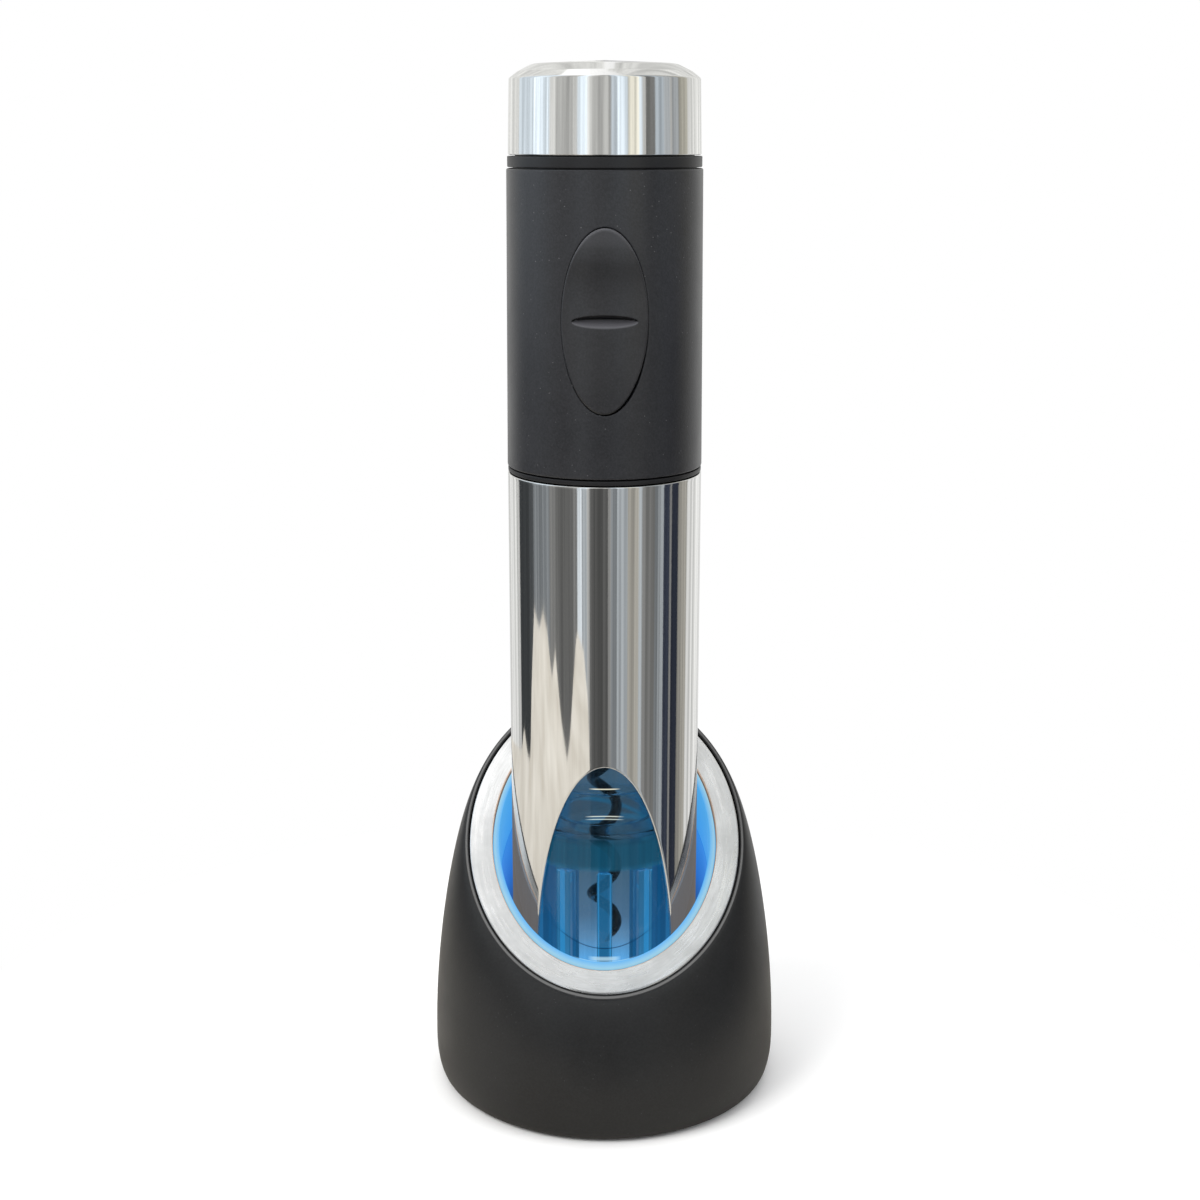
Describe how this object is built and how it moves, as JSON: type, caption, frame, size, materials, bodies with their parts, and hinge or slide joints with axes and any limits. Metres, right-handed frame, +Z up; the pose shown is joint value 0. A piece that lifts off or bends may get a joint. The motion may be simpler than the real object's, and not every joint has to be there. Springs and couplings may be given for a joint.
{
  "type": "electric wine opener on charging stand",
  "caption": "Cylindrical electric wine opener with a powered worm, an oval rocker button and a windowed steel sleeve, standing in a slanted charging stand with a lit ring.",
  "frame": {"origin": "on the floor, on the axis shared by the stand and the opener", "axes": "+Z up along the opener, -Y to the front, where the button and the low side of the stand are, +X to the right seen from the front"},
  "size_m": [0.0944, 0.0943, 0.2743],
  "materials": {
    "stand_shell": "moulded with a fine matt grain",
    "trim_ring": "brushed round the ring",
    "light_ring": "frosted light guide, lit blue",
    "well_cup": "satin",
    "base_plate": "matt",
    "foot": "matt",
    "base_screw": "zinc plated",
    "circuit_board": "solder mask",
    "dc_jack": "satin",
    "contact_brass": "plated",
    "spring_steel": "drawn wire",
    "top_cap": "polished",
    "seam_ring": "satin",
    "grip_sleeve": "soft touch",
    "rocker_button": "satin, lightly worn",
    "steel_sleeve": "polished along its length",
    "clear_barrel": "clear plastic with moulded ribs",
    "cork_guide": "clear plastic",
    "worm": "black non-stick coating",
    "worm_hub": "turned",
    "chassis": "moulded",
    "battery_cell": "shrink wrap",
    "switch_body": "moulded",
    "gear_nylon": "moulded",
    "gear_steel": "sintered",
    "motor_can": "drawn",
    "motor_plate": "stamped",
    "gearbox_cover": "moulded"
  },
  "bodies": {
    "stand": {"stand_shell": "stand_shell", "trim_ring": "trim_ring", "light_ring": "light_ring", "led_board": "circuit_board", "well_cup": "well_cup", "base_plate": "base_plate", "charge_board": "circuit_board", "dc_jack": "dc_jack", "foot_1": "foot", "foot_2": "foot", "foot_3": "foot", "foot_4": "foot", "base_screw_1": "base_screw", "base_screw_2": "base_screw", "base_screw_3": "base_screw", "base_screw_4": "base_screw", "charge_spring_left": "spring_steel", "charge_spring_right": "spring_steel"},
    "charge_pin_left": {"charge_pin_left": "contact_brass"},
    "charge_pin_right": {"charge_pin_right": "contact_brass"},
    "opener": {"top_cap": "top_cap", "cap_seam_ring": "seam_ring", "grip_sleeve": "grip_sleeve", "lower_seam_ring": "seam_ring", "steel_sleeve": "steel_sleeve", "clear_barrel": "clear_barrel", "cork_guide": "cork_guide", "contact_strip_left": "contact_brass", "contact_strip_right": "contact_brass", "chassis_front": "chassis", "chassis_rear": "chassis", "battery_cell_1": "battery_cell", "battery_cell_2": "battery_cell", "battery_cell_3": "battery_cell", "battery_cell_4": "battery_cell", "battery_board": "circuit_board", "switch_board": "circuit_board", "switch_upper": "switch_body", "switch_lower": "switch_body", "rocker_pin": "gear_steel", "motor_can": "motor_can", "motor_plate": "motor_plate", "ring_gear": "gear_nylon", "gearbox_cover": "gearbox_cover"},
    "rocker": {"rocker_button": "rocker_button"},
    "plunger_upper": {"switch_plunger_upper": "gear_nylon"},
    "plunger_lower": {"switch_plunger_lower": "gear_nylon"},
    "motor_rotor": {"motor_shaft": "gear_steel", "sun_gear_1": "contact_brass"},
    "motor_carrier": {"carrier_1": "gear_steel"},
    "worm_output": {"carrier_2": "gear_steel", "worm_hub": "worm_hub", "worm": "worm"},
    "planet_1a": {"planet_gear_1a": "gear_nylon"},
    "planet_1b": {"planet_gear_1b": "gear_nylon"},
    "planet_1c": {"planet_gear_1c": "gear_nylon"},
    "planet_2a": {"planet_gear_2a": "gear_nylon"},
    "planet_2b": {"planet_gear_2b": "gear_nylon"},
    "planet_2c": {"planet_gear_2c": "gear_nylon"}
  },
  "joints": [
    {"name": "opener_lift", "type": "slide", "parent": "stand", "child": "opener", "axis": [0, 0, 1], "range_m": [0, 0.11]},
    {"name": "rocker_tilt", "type": "hinge", "parent": "opener", "child": "rocker", "pos_m": [0, -0.0205, 0.2114], "axis": [1, 0, 0], "range_deg": [-3.5, 3.5], "stiffness_Nm_per_rad": 0.3},
    {"name": "plunger_upper_slide", "type": "slide", "parent": "opener", "child": "plunger_upper", "axis": [0, 1, 0], "range_m": [-0.0008, 0.0008]},
    {"name": "plunger_lower_slide", "type": "slide", "parent": "opener", "child": "plunger_lower", "axis": [0, 1, 0], "range_m": [-0.0008, 0.0008]},
    {"name": "charge_pin_left_slide", "type": "slide", "parent": "stand", "child": "charge_pin_left", "axis": [0, 0, 1], "range_m": [-0.001, 0], "stiffness_N_per_m": 150, "deforming": ["charge_spring_left"]},
    {"name": "charge_pin_right_slide", "type": "slide", "parent": "stand", "child": "charge_pin_right", "axis": [0, 0, 1], "range_m": [-0.001, 0], "stiffness_N_per_m": 150, "deforming": ["charge_spring_right"]},
    {"name": "worm_spin", "type": "hinge", "parent": "opener", "child": "worm_output", "pos_m": [0, 0, 0.1173], "axis": [0, 0, 1], "continuous": true},
    {"name": "carrier_1_spin", "type": "hinge", "parent": "opener", "child": "motor_carrier", "pos_m": [0, 0, 0.127], "axis": [0, 0, 1], "continuous": true},
    {"name": "motor_spin", "type": "hinge", "parent": "opener", "child": "motor_rotor", "pos_m": [0, 0, 0.15], "axis": [0, 0, 1], "continuous": true},
    {"name": "planet_2a_spin", "type": "hinge", "parent": "worm_output", "child": "planet_2a", "pos_m": [0.009, 0, 0.122], "axis": [0, 0, 1], "continuous": true},
    {"name": "planet_2b_spin", "type": "hinge", "parent": "worm_output", "child": "planet_2b", "pos_m": [-0.0045, 0.00779, 0.122], "axis": [0, 0, 1], "continuous": true},
    {"name": "planet_2c_spin", "type": "hinge", "parent": "worm_output", "child": "planet_2c", "pos_m": [-0.0045, -0.00779, 0.122], "axis": [0, 0, 1], "continuous": true},
    {"name": "planet_1a_spin", "type": "hinge", "parent": "motor_carrier", "child": "planet_1a", "pos_m": [0.009, 0, 0.1315], "axis": [0, 0, 1], "continuous": true},
    {"name": "planet_1b_spin", "type": "hinge", "parent": "motor_carrier", "child": "planet_1b", "pos_m": [-0.0045, 0.00779, 0.1315], "axis": [0, 0, 1], "continuous": true},
    {"name": "planet_1c_spin", "type": "hinge", "parent": "motor_carrier", "child": "planet_1c", "pos_m": [-0.0045, -0.00779, 0.1315], "axis": [0, 0, 1], "continuous": true}
  ],
  "couplings": [
    {"joint": "plunger_upper_slide", "follows": "rocker_tilt", "m_per_rad": -0.013},
    {"joint": "plunger_lower_slide", "follows": "rocker_tilt", "m_per_rad": 0.013},
    {"joint": "carrier_1_spin", "follows": "worm_spin", "ratio": 5},
    {"joint": "motor_spin", "follows": "worm_spin", "ratio": 25},
    {"joint": "planet_2a_spin", "follows": "worm_spin", "ratio": -2.6667},
    {"joint": "planet_2b_spin", "follows": "worm_spin", "ratio": -2.6667},
    {"joint": "planet_2c_spin", "follows": "worm_spin", "ratio": -2.6667},
    {"joint": "planet_1a_spin", "follows": "worm_spin", "ratio": -13.333},
    {"joint": "planet_1b_spin", "follows": "worm_spin", "ratio": -13.333},
    {"joint": "planet_1c_spin", "follows": "worm_spin", "ratio": -13.333}
  ]
}
